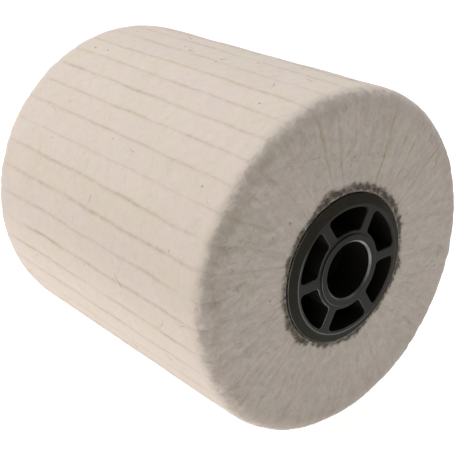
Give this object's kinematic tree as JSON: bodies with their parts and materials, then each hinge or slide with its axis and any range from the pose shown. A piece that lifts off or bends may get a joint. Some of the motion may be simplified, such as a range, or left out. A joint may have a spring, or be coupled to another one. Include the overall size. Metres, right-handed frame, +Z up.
{
  "type": "felt polishing drum",
  "caption": "Cylindrical polishing drum of packed wool felt flaps bonded round a rigid core, with spoked plastic end hubs and a plain central bore.",
  "frame": {"origin": "centre of the drum, on the spin axis, midway between its two end faces", "axes": "+Y along the spin axis, towards the rear hub; -Y is the front hub's side; +Z up; +X to the right when the front hub is seen"},
  "size_m": [0.115, 0.125, 0.115],
  "materials": {
    "felt": "matte",
    "hub_plastic": "satin",
    "sleeve_plastic": "matte",
    "fibre_tube": "matte",
    "adhesive": "satin",
    "matted_fibre": "matte"
  },
  "bodies": {
    "root": {"flap_01": "felt", "flap_02": "felt", "flap_03": "felt", "flap_04": "felt", "flap_05": "felt", "flap_06": "felt", "flap_07": "felt", "flap_08": "felt", "flap_09": "felt", "flap_10": "felt", "flap_11": "felt", "flap_12": "felt", "flap_13": "felt", "flap_14": "felt", "flap_15": "felt", "flap_16": "felt", "flap_17": "felt", "flap_18": "felt", "flap_19": "felt", "flap_20": "felt", "flap_21": "felt", "flap_22": "felt", "flap_23": "felt", "flap_24": "felt", "flap_25": "felt", "flap_26": "felt", "flap_27": "felt", "flap_28": "felt", "flap_29": "felt", "flap_30": "felt", "flap_31": "felt", "flap_32": "felt", "flap_33": "felt", "flap_34": "felt", "flap_35": "felt", "flap_36": "felt", "flap_37": "felt", "flap_38": "felt", "flap_39": "felt", "flap_40": "felt", "flap_41": "felt", "flap_42": "felt", "hub_front": "hub_plastic", "hub_rear": "hub_plastic", "bore_sleeve": "sleeve_plastic", "core_tube": "fibre_tube", "root_bond": "adhesive", "bead_front": "matted_fibre", "bead_rear": "matted_fibre"}
  },
  "joints": []
}
